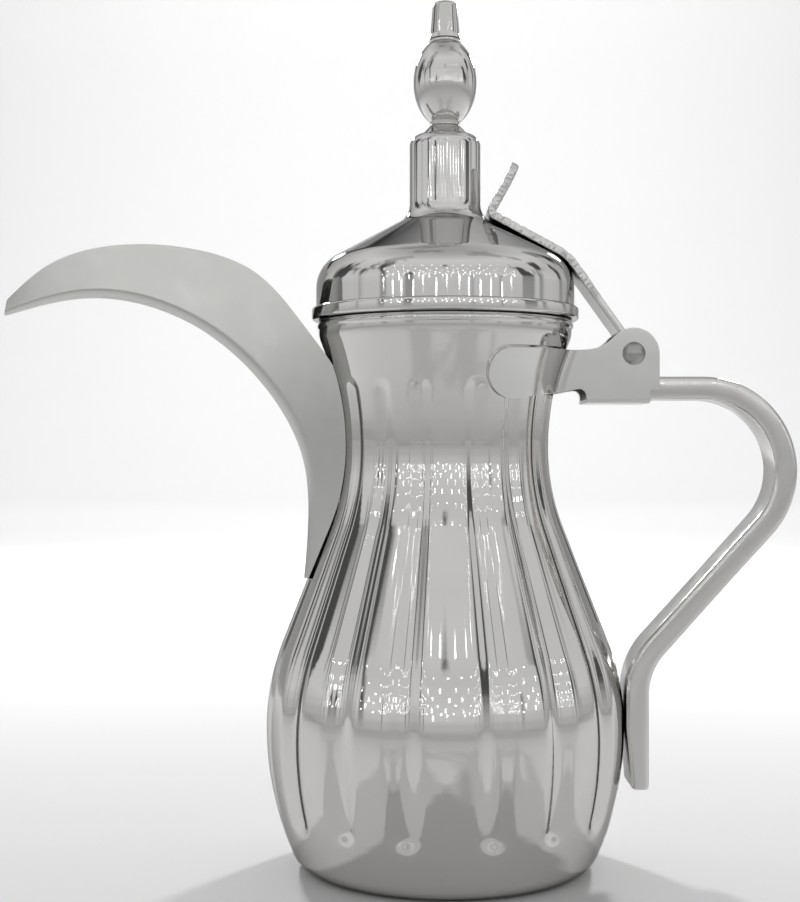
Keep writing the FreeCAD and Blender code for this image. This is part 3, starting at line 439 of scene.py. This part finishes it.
def spout_half(name, sign):
    """One pressed half of the spout: outer and inner walls joined along the lip, seam and tip."""
    stations, columns = SPOUT_STATIONS, SPOUT_COLUMNS
    neck_inside = WAIST_RADIUS - SPOUT_ROOT_HALF / 2
    lip_points = SPOUT_LIP + [(-neck_inside - 2 * WALL, WAIST_HEIGHT + neck_inside / 2)]
    lip_points.append((-neck_inside, WAIST_HEIGHT))
    lip_points.append((-neck_inside - WALL, SPOUT_NECK[-1][1]))
    keel_points = SPOUT_KEEL + [(-body_radius(height) - gap, height) for gap, height in SPOUT_NECK]
    keel, lip = spline(keel_points, stations), spline(lip_points, stations)
    walls = ([], [])
    for i in range(stations):
        share = i / (stations - 1)
        pair = [spout_wall(keel[i], lip[i], share, inset, columns) for inset in (0.0, SPOUT_SHEET)]
        if pair[0] is None or pair[1] is None:
            break
        for wall, row in zip(walls, pair):
            wall.append(row * (1, sign, 1))
    rows = len(walls[0])
    points = np.vstack([np.array(walls[0]).reshape(-1, 3), np.array(walls[1]).reshape(-1, 3)])
    start = rows * columns
    forward = sign > 0
    faces = grid_faces(rows, columns, 0, False, not forward)
    faces += grid_faces(rows, columns, start, False, forward)
    for column, flip in ((0, forward), (columns - 1, not forward)):
        for i in range(rows - 1):
            here, below = i * columns + column, (i + 1) * columns + column
            face = [here, below, start + below, start + here]
            faces.append(face[::-1] if flip else face)
    for row, flip in ((0, not forward), (rows - 1, forward)):
        for j in range(columns - 1):
            here = row * columns + j
            face = [here, here + 1, start + here + 1, start + here]
            faces.append(face[::-1] if flip else face)
    return mesh_object(name, points, faces)


def round_section(half_width, half_thickness, radius, steps=6, spacing=None):
    """Rounded rectangle as (across, up) points, with its long sides divided to a spacing."""
    points = []
    corners = [(1, 1, 0), (-1, 1, 90), (-1, -1, 180), (1, -1, 270)]
    for i, (x, y, turn) in enumerate(corners):
        centre = (x * (half_width - radius), y * (half_thickness - radius))
        run = arc(centre, radius, math.radians(turn), math.radians(turn + 90), 90 / steps)
        points.append(run)
        if spacing and i in (0, 2):
            length = 2 * (half_width - radius)
            count = math.ceil(length / spacing)
            share = np.linspace(0, 1, count + 1)[1:-1, None]
            follow = run[-1] + np.array([-x * length, 0.0])
            points.append(run[-1] * (1 - share) + follow * share)
    return np.vstack(points)


def swept(name, path, sections, lift=None):
    """Mesh of closed sections along a side-view path, capped at both ends."""
    tangent = np.gradient(path, lengths_along(path), axis=0)
    tangent /= np.linalg.norm(tangent, axis=1)[:, None]
    normal = np.column_stack([-tangent[:, 1], tangent[:, 0]])
    points = []
    for i, section in enumerate(sections):
        up = section[:, 1] + (lift[i] if lift is not None else 0.0)
        points.append(np.column_stack([path[i, 0] + normal[i, 0] * up, section[:, 0],
                                       path[i, 1] + normal[i, 1] * up]))
    rows, columns = len(points), len(points[0])
    faces = grid_faces(rows, columns, 0, True)
    faces += [list(range(columns))[::-1], list(range((rows - 1) * columns, rows * columns))]
    return mesh_object(name, np.vstack(points), faces)


def edge_inset(distance, radius):
    """How far a round of a radius draws in at a distance from the end."""
    gap = max(0.0, radius - distance)
    return radius - math.sqrt(radius ** 2 - gap ** 2)


def finer_ends(path, radius, both=True):
    """Path with more points inside its end rounds."""
    along = lengths_along(path)
    near = radius * (1 - np.cos(np.linspace(0, math.pi / 2, 7)))
    spots = [along, along[-1] - near] + ([near] if both else [])
    spots = np.unique(np.round(np.concatenate(spots), 4))
    return resample(path, spots)


def handle_mesh():
    """Bent bar of flat section with rounded edges, thinner towards its lower end."""
    half = HANDLE_THICKNESS / 2
    top = FLOOR_TOP + WELD_GAP + half
    corner = HANDLE_REACH - HANDLE_BEND - half + HANDLE_BEND / math.tan(HANDLE_SLOPE / 2)
    lower = BELLY_RADIUS + WELD_GAP + half
    low_corner = top - (corner - lower) * math.tan(HANDLE_SLOPE)
    corners = [(HANDLE_INNER_END, top), (corner, top), (lower, low_corner), (lower, HANDLE_END)]
    path = finer_ends(rounded(corners, [HANDLE_BEND, HANDLE_LOWER_BEND], HANDLE_STEP), HANDLE_ROUND)
    along = lengths_along(path)
    sections, lift = [], []
    for i, spot in enumerate(along):
        inset = edge_inset(along[-1] - spot, HANDLE_ROUND)
        share = 0.0
        if path[i, 1] < BELLY_HEIGHT:
            share = (BELLY_HEIGHT - path[i, 1]) / (BELLY_HEIGHT - HANDLE_END)
        thin = HANDLE_TAPER * share / 2
        radius = max(HANDLE_ROUND - inset, 0.25)
        sections.append(round_section(HANDLE_WIDTH / 2 - inset, half - thin - inset, radius))
        lift.append(thin)
    return swept("bent_handle", path, sections, lift)


def cone_height(radius):
    """Height of the lid's slope at a radius, before its rounds."""
    return LID_BASE + LID_CONE_LOW + (LID_WALL - radius) * math.tan(LID_CONE)


def lid_path(inset):
    """Lid profile from its rim to the stud hole, drawn in by inset."""
    drop = inset / math.cos(LID_CONE)
    corners = [
        (LID_WALL - inset, LID_BASE),
        (LID_WALL - inset, cone_height(LID_WALL - inset) - drop),
        (TOWER_RADIUS - inset, cone_height(TOWER_RADIUS - inset) - drop),
        (TOWER_RADIUS - inset, TOWER_TOP - inset),
        (STUD_BORE, TOWER_TOP - inset),
    ]
    return rounded(corners, [LID_SHOULDER - inset, TOWER_FOOT + inset, TOWER_ROUND - inset], LID_STEP)


def lid_mesh():
    """Dome and tower with the rolled band round the rim."""
    outer, inner = lid_path(0.0), lid_path(LID_SHEET)
    top = LID_BASE + LID_BAND_HEIGHT
    reach = LID_BAND - LID_BAND_ROUND
    band = np.vstack([
        [(LID_WALL, LID_BASE)],
        arc((reach, LID_BASE + LID_BAND_ROUND), LID_BAND_ROUND, -math.pi / 2, 0, 10),
        arc((reach, top - LID_BAND_ROUND), LID_BAND_ROUND, 0, math.pi / 2, 10),
        [(LID_WALL, top)],
    ])
    profile = np.vstack([band, outer[outer[:, 1] > top + 0.2], inner[::-1]])
    return turned("domed_lid", profile)


def pebbles(along, across):
    """Height of a field of small rounded pebbles at points of a strip, the same on every run."""
    chance = np.random.default_rng(11)
    columns = math.ceil(LEVER_WIDTH / PEBBLE_SPACING) + 2
    rows = math.ceil(along.max() / PEBBLE_SPACING) + 2
    grid = np.stack(np.meshgrid(np.arange(rows), np.arange(columns), indexing="ij"), axis=-1)
    grid = grid.reshape(-1, 2)
    seeds = (grid + chance.uniform(-PEBBLE_SHIFT, PEBBLE_SHIFT, grid.shape)) * PEBBLE_SPACING
    seeds[:, 1] -= (columns - 1) * PEBBLE_SPACING / 2
    height = np.zeros(len(along))
    for seed in seeds:
        near = np.flatnonzero(np.abs(along - seed[0]) < PEBBLE_SPACING)
        distance = np.hypot(along[near] - seed[0], across[near] - seed[1])
        distance /= PEBBLE_SPACING * PEBBLE_SHARE
        height[near] = np.maximum(height[near], np.sqrt(np.clip(1 - distance ** 2, 0, 1)))
    return height


def lever_path():
    """Middle line of the strap from the thumb tab to the barrel."""
    half = LEVER_THICKNESS / 2
    out = np.array([math.sin(LID_CONE), math.cos(LID_CONE)])
    base = np.array([LEVER_START, cone_height(LEVER_START)]) + out * (LEVER_GAP + half)
    tip = base + np.array([math.cos(LEVER_TAB_ANGLE), math.sin(LEVER_TAB_ANGLE)]) * LEVER_TAB_LENGTH
    reach = LID_WALL - LID_SHOULDER
    centre = np.array([reach, cone_height(reach) - LID_SHOULDER / math.cos(LID_CONE)])
    bend = LID_SHOULDER + LEVER_GAP + half
    toward = np.array(HINGE) - centre
    heading = math.atan2(toward[1], toward[0])
    heading -= math.asin((bend - LEVER_ABOVE_RIVET) / np.linalg.norm(toward))
    ahead = np.array([math.cos(heading), math.sin(heading)])
    side = np.array([-math.sin(heading), math.cos(heading)])
    leave = centre + (out + side) * bend / (1 + out @ side)
    end = np.array(HINGE) + side * LEVER_ABOVE_RIVET - ahead * (LEVER_BORE + LEVER_BARREL) / 2
    return rounded([tip, base, leave, end], [LEVER_TAB_BEND, bend], LEVER_STEP)


def lever_mesh():
    """Strap with a thumb tab, its upper face and edges pebbled, and its barrel round the hinge rivet."""
    path = finer_ends(lever_path(), LEVER_ROUND)
    along = lengths_along(path)
    sections = []
    for spot in along:
        narrow = edge_inset(spot, LEVER_CORNER)
        thin = edge_inset(spot, LEVER_ROUND)
        section = round_section(LEVER_WIDTH / 2, LEVER_THICKNESS / 2, LEVER_ROUND, 4, LEVER_STEP)
        scale = (LEVER_WIDTH / 2 - narrow) / (LEVER_WIDTH / 2)
        thickness = (LEVER_THICKNESS / 2 - thin) / (LEVER_THICKNESS / 2)
        sections.append(section * (scale, thickness))
    spots = np.repeat(along, len(sections[0]))
    field = np.vstack(sections)
    fade = np.clip((PEBBLE_END - np.repeat(path[:, 0], len(sections[0]))) / PEBBLE_FADE, 0, 1)
    fade *= np.clip(spots / PEBBLE_TIP_FADE, 0, 1)
    height = pebbles(spots, field[:, 0]) * fade * PEBBLE_RISE
    upper = field[:, 1] > 0
    field[upper, 1] += height[upper]
    reach = np.repeat([section[:, 0].max() for section in sections], len(sections[0]))
    edge = np.abs(field[:, 0]) > reach - LEVER_ROUND / 2
    bumps = pebbles(spots, field[:, 1]) * fade * PEBBLE_RISE
    field[edge, 0] += np.sign(field[edge, 0]) * bumps[edge]
    strap = swept("lid_lever_strap", path, np.split(field, len(sections)))
    return join(strap, barrel_mesh())


def barrel_mesh():
    """Rolled barrel of the lever, along Y through the hinge."""
    half, round_edge = LEVER_WIDTH / 2, 0.4
    profile = np.vstack([
        [(LEVER_BORE, -half)],
        arc((LEVER_BARREL - round_edge, -half + round_edge), round_edge, -math.pi / 2, 0, 15),
        arc((LEVER_BARREL - round_edge, half - round_edge), round_edge, 0, math.pi / 2, 15),
        [(LEVER_BORE, half)],
    ])
    barrel = turned("lever_barrel", profile, True, BARREL_STEPS)
    for vertex in barrel.data.vertices:
        x, y, z = vertex.co
        vertex.co = (HINGE[0] * MM + y, z, HINGE[1] * MM + x)
    return barrel


def join(first, second):
    """The two mesh objects as one, under the first one's name."""
    with bpy.context.temp_override(active_object=first, selected_editable_objects=[first, second]):
        bpy.ops.object.join()
    return first


def finial_pieces():
    """Collar, egg bead, ring and tip stacked on the tower."""
    collar_low = TOWER_TOP + WELD_GAP
    bead_low = collar_low + COLLAR_HEIGHT
    bead_high = bead_low + 2 * BEAD_HALF
    tip_low = bead_high + RING_HEIGHT
    limit = math.asin(BEAD_END / BEAD_RADIUS)
    angles = np.linspace(math.pi - limit, limit, EGG_STEPS)
    reach = BEAD_HALF / math.cos(limit)
    middle = (bead_low + bead_high) / 2
    egg = np.column_stack([BEAD_RADIUS * np.sin(angles), middle + reach * np.cos(angles)])
    egg = np.vstack([[(STUD_BORE, bead_low)], egg, [(STUD_BORE, bead_high)]])
    waist = collar_low + COLLAR_NECK_HEIGHT
    slope = [(TOWER_RADIUS - TOWER_ROUND, collar_low), (COLLAR_NECK, waist), (BEAD_END, bead_low)]
    collar = np.vstack([[(STUD_BORE, collar_low)], rounded(slope, [0.6], 0.8), [(STUD_BORE, bead_low)]])
    inset = RING_HEIGHT / 2
    ring = arc((RING_RADIUS - inset, bead_high + inset), inset, -math.pi / 2, math.pi / 2, 8)
    ring = np.vstack([[(STUD_BORE, bead_high)], ring, [(STUD_BORE, tip_low)]])
    top = tip_low + TIP_HEIGHT
    outline = [(TIP_BASE, tip_low), (TIP_LOWER, tip_low + TIP_FLARE), (TIP_UPPER, top), (0.0, top)]
    tip = np.vstack([[(STUD_BORE, tip_low)], rounded(outline, [TIP_FLARE / 2, TIP_ROUND], 1.0)])
    return {
        "finial_collar": turned("turned_collar", collar),
        "finial_bead": turned("egg_bead", egg),
        "finial_ring": turned("turned_ring", ring),
        "finial_tip": turned("tapered_tip", tip, False),
    }


def colour_ramp(nodes, stops):
    """Colour ramp node: each stop is its position and its colour."""
    ramp = nodes.new("ShaderNodeValToRGB")
    while len(ramp.color_ramp.elements) < len(stops):
        ramp.color_ramp.elements.new(0.5)
    for element, (position, colour) in zip(ramp.color_ramp.elements, stops):
        element.position = position
        element.color = (*colour, 1)
    return ramp


def grey_ramp(nodes, stops):
    """Ramp of greys: each stop is its position and its level."""
    return colour_ramp(nodes, [(position, (level, level, level)) for position, level in stops])


def metal(name, colour, roughness, spread, wave, scratch, grain=NO_GRAIN, speck=0.0, edge=0.0):
    """Polished metal: waves of hand polishing, fine rubbed scratches, uneven gloss, softened edges."""
    material = bpy.data.materials.new(name)
    material.use_nodes = True
    nodes, links = material.node_tree.nodes, material.node_tree.links
    shader = nodes["Principled BSDF"]
    shader.inputs["Metallic"].default_value = 1.0
    shader.inputs["Specular Tint"].default_value = (EDGE_TINT, EDGE_TINT, EDGE_TINT, 1)
    place = nodes.new("ShaderNodeTexCoord")

    def noise(size, stretch=NO_GRAIN):
        mapping = nodes.new("ShaderNodeMapping")
        mapping.inputs["Scale"].default_value = stretch
        texture = nodes.new("ShaderNodeTexNoise")
        texture.inputs["Scale"].default_value, texture.inputs["Detail"].default_value = size
        links.new(place.outputs["Object"], mapping.inputs["Vector"])
        links.new(mapping.outputs["Vector"], texture.inputs["Vector"])
        return texture.outputs["Fac"]

    def spread_to(value, low, high):
        span = nodes.new("ShaderNodeMapRange")
        span.inputs["From Min"].default_value = NOISE_LOW
        span.inputs["From Max"].default_value = NOISE_HIGH
        span.inputs["To Min"].default_value = low
        span.inputs["To Max"].default_value = high
        links.new(value, span.inputs["Value"])
        return span.outputs["Result"]

    def bump(size, strength, depth, stretch=NO_GRAIN):
        relief = nodes.new("ShaderNodeBump")
        relief.inputs["Strength"].default_value = strength
        relief.inputs["Distance"].default_value = depth
        links.new(noise(size, stretch), relief.inputs["Height"])
        return relief

    dark = [level * TONE_FALL for level in colour]
    tone = colour_ramp(nodes, [(NOISE_LOW, dark), (NOISE_HIGH, colour)])
    links.new(noise(TONE_NOISE), tone.inputs["Fac"])
    links.new(tone.outputs["Color"], shader.inputs["Base Color"])
    gloss = noise(GLOSS_NOISE)
    links.new(spread_to(gloss, roughness, roughness + spread), shader.inputs["Roughness"])
    waves = bump(WAVE_NOISE, wave, WAVE_DEPTH)
    if edge:
        soften = nodes.new("ShaderNodeBevel")
        soften.samples = BEVEL_SAMPLES
        soften.inputs["Radius"].default_value = edge
        links.new(soften.outputs["Normal"], waves.inputs["Normal"])
    last = bump(RUB_NOISE, scratch, RUB_DEPTH, grain)
    links.new(waves.outputs["Normal"], last.inputs["Normal"])
    if speck:
        rubs, last = last, bump(PIT_NOISE, speck, PIT_DEPTH)
        links.new(rubs.outputs["Normal"], last.inputs["Normal"])
    links.new(last.outputs["Normal"], shader.inputs["Normal"])
    return material


def paint(thing, material):
    """Gives an object one material and no other."""
    thing.data.materials.clear()
    thing.data.materials.append(material)


def dress(thing, node, body, material):
    """A fine piece stands for its CAD node and moves with its body."""
    paint(thing, material)
    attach(thing, body)
    if node:
        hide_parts(node)


def dress_pot():
    """All pieces of the pot and its lid, with their metals."""
    mirror = metal("mirror_body", (0.81, 0.80, 0.785), 0.03, 0.04, 0.06, 0.10, SPUN)
    lid_mirror = metal("mirror_lid", (0.81, 0.80, 0.79), 0.03, 0.04, 0.06, 0.12, SPUN)
    turned_mirror = metal("mirror_finial", (0.81, 0.80, 0.785), 0.03, 0.04, 0.04, 0.08, SPUN)
    # The spout is the body's polished steel given a darker colour (0.70 against 0.81): painted shade that
    # tones down the lamps' reflections on the spout.
    spout_mirror_painted_shade = metal("polished_spout", (0.70, 0.70, 0.68), 0.16, 0.05, 0.10, 0.10)
    bar = metal("polished_bar", (0.80, 0.79, 0.775), 0.10, 0.08, 0.12, 0.14)
    strap = metal("pebbled_strap", (0.78, 0.775, 0.765), 0.12, 0.10, 0.08, 0.10, speck=0.25)
    sheet = metal("polished_sheet", (0.83, 0.825, 0.81), 0.10, 0.06, 0.10, 0.10, edge=0.0004)
    # The rivets' steel is much darker than the polished sheet: painted shade that stands in for the dark
    # reflections round their domed heads.
    rivet = metal("rivet_steel_painted_shade", (0.46, 0.455, 0.45), 0.2, 0.08, 0.05, 0.10)
    satin = metal("satin_inside", (0.66, 0.66, 0.66), 0.32, 0.12, 0.05, 0.25)
    plain = metal("plain_steel", (0.58, 0.58, 0.58), 0.36, 0.12, 0.05, 0.20)

    dress(body_mesh(), "body_shell", "pot", mirror)
    dress(rim_bead(), None, "pot", mirror)
    dress(spout_half("spout_front", -1), "spout_front_half", "pot", spout_mirror_painted_shade)
    dress(spout_half("spout_back", 1), "spout_back_half", "pot", spout_mirror_painted_shade)
    dress(handle_mesh(), "handle", "pot", bar)
    dress(lid_mesh(), "lid_dome", "lid", lid_mirror)
    dress(lever_mesh(), "lid_lever", "lid", strap)
    for node, piece in finial_pieces().items():
        dress(piece, node, "lid", turned_mirror)
    kept = {"hinge_bracket": sheet, "hinge_rivet": rivet, "lever_rivets": rivet, "base_disc": satin,
            "lid_skirt": satin, "finial_stud": plain, "finial_nut": plain, "finial_washer": plain}
    for node, material in kept.items():
        paint(NODES[node], material)


def paper():
    """Matt pale paper with a faint unevenness."""
    material = bpy.data.materials.new("pale_paper")
    material.use_nodes = True
    nodes, links = material.node_tree.nodes, material.node_tree.links
    shader = nodes["Principled BSDF"]
    shader.inputs["Roughness"].default_value = PAPER_ROUGHNESS
    texture = nodes.new("ShaderNodeTexNoise")
    texture.inputs["Scale"].default_value = PAPER_GRAIN
    tone = colour_ramp(nodes, [(0.0, [level * PAPER_FALL for level in PAPER]), (1.0, PAPER)])
    links.new(texture.outputs["Fac"], tone.inputs["Fac"])
    links.new(tone.outputs["Color"], shader.inputs["Base Color"])
    return material


def studio_floor():
    """Pale floor that curves up into a backdrop far behind the pot."""
    bend_start = FLOOR_HALF - FLOOR_BEND
    turn = arc((bend_start, FLOOR_BEND), FLOOR_BEND, -math.pi / 2, 0.0, 5)
    side = np.vstack([[(-FLOOR_HALF, 0.0)], turn, [(FLOOR_HALF, BACKDROP_HEIGHT)]])
    points = [(x, y, z) for y, z in side for x in (-FLOOR_HALF, FLOOR_HALF)]
    floor = mesh_object("pale_floor", points, grid_faces(len(side), 2, 0, False, True), 60)
    paint(floor, paper())


def lamp(name, place, aim, size, power):
    """Rectangular area light that faces its aim."""
    light = bpy.data.lights.new(name, "AREA")
    light.shape = "RECTANGLE"
    light.size, light.size_y = size
    light.energy = power
    thing = bpy.data.objects.new(name, light)
    thing.location = place
    direction = np.subtract(aim, place)
    thing.rotation_euler = Vector(direction).to_track_quat("-Z", "Y").to_euler()
    bpy.context.collection.objects.link(thing)


def studio_light():
    """Soft panels behind the pot, two rim lights, and small lamps that sparkle in the polish."""
    lamp("floor_panel", *FLOOR_PANEL)
    lamp("backdrop_panel", *BACKDROP_PANEL)
    lamp("left_rim", *LEFT_RIM)
    lamp("right_rim", *RIGHT_RIM)
    chance = np.random.default_rng(5)
    side_shift, rise_shift = SMALL_LAMP_SHIFTS
    for row, climb in enumerate(SMALL_LAMP_RISES):
        for column in range(SMALL_LAMP_COLUMNS):
            spot = column - SMALL_LAMP_COLUMNS // 2 + 0.5 * (row % 2)
            turn = math.radians(spot * SMALL_LAMP_PITCH + chance.uniform(-side_shift, side_shift))
            rise = math.radians(climb + chance.uniform(-rise_shift, rise_shift))
            way = np.array([math.sin(turn), -math.cos(turn), math.tan(rise)])
            name = f"small_lamp_{row}_{column}"
            lamp(name, way * SMALL_LAMP_DISTANCE, POT_MIDDLE, SMALL_LAMP_SIZE, SMALL_LAMP_POWER)


def studio_world():
    """Soft grey surroundings with broad upright bands that fade at the horizon and overhead."""
    world = bpy.data.worlds.new("soft_studio")
    bpy.context.scene.world = world
    world.use_nodes = True
    nodes, links = world.node_tree.nodes, world.node_tree.links
    place = nodes.new("ShaderNodeTexCoord")
    split = nodes.new("ShaderNodeSeparateXYZ")
    links.new(place.outputs["Generated"], split.inputs["Vector"])
    lift = nodes.new("ShaderNodeMapRange")
    lift.inputs["From Min"].default_value = -1.0
    links.new(split.outputs["Z"], lift.inputs["Value"])
    sky = grey_ramp(nodes, SKY_STOPS)
    links.new(lift.outputs["Result"], sky.inputs["Fac"])
    stretch = nodes.new("ShaderNodeMapping")
    stretch.inputs["Rotation"].default_value = (0.0, 0.0, BAND_TURN)
    stretch.inputs["Scale"].default_value = BAND_STRETCH
    links.new(place.outputs["Generated"], stretch.inputs["Vector"])
    bands = nodes.new("ShaderNodeTexNoise")
    bands.inputs["Scale"].default_value, bands.inputs["Detail"].default_value = BAND_NOISE
    links.new(stretch.outputs["Vector"], bands.inputs["Vector"])
    tone = grey_ramp(nodes, BAND_STOPS)
    links.new(bands.outputs["Fac"], tone.inputs["Fac"])
    fade = grey_ramp(nodes, BAND_FADE)
    links.new(lift.outputs["Result"], fade.inputs["Fac"])
    faded = nodes.new("ShaderNodeMix")
    faded.inputs["A"].default_value = 1.0
    links.new(fade.outputs["Color"], faded.inputs["Factor"])
    links.new(tone.outputs["Color"], faded.inputs["B"])
    product = nodes.new("ShaderNodeVectorMath")
    product.operation = "MULTIPLY"
    links.new(sky.outputs["Color"], product.inputs[0])
    links.new(faded.outputs["Result"], product.inputs[1])
    links.new(product.outputs["Vector"], nodes["Background"].inputs["Color"])


def studio_camera():
    """Level camera in front of the pot, a little towards the spout."""
    camera = bpy.data.cameras.new("camera")
    camera.lens = CAMERA_LENS
    camera.sensor_width = CAMERA_SENSOR
    camera.clip_start = CAMERA_NEAR
    thing = bpy.data.objects.new("camera", camera)
    thing.location = CAMERA_PLACE
    thing.rotation_euler = (math.pi / 2, 0.0, 0.0)
    bpy.context.collection.objects.link(thing)
    bpy.context.scene.camera = thing
    bpy.context.scene.view_settings.view_transform = "Standard"


dress_pot()
studio_floor()
studio_light()
studio_world()
studio_camera()
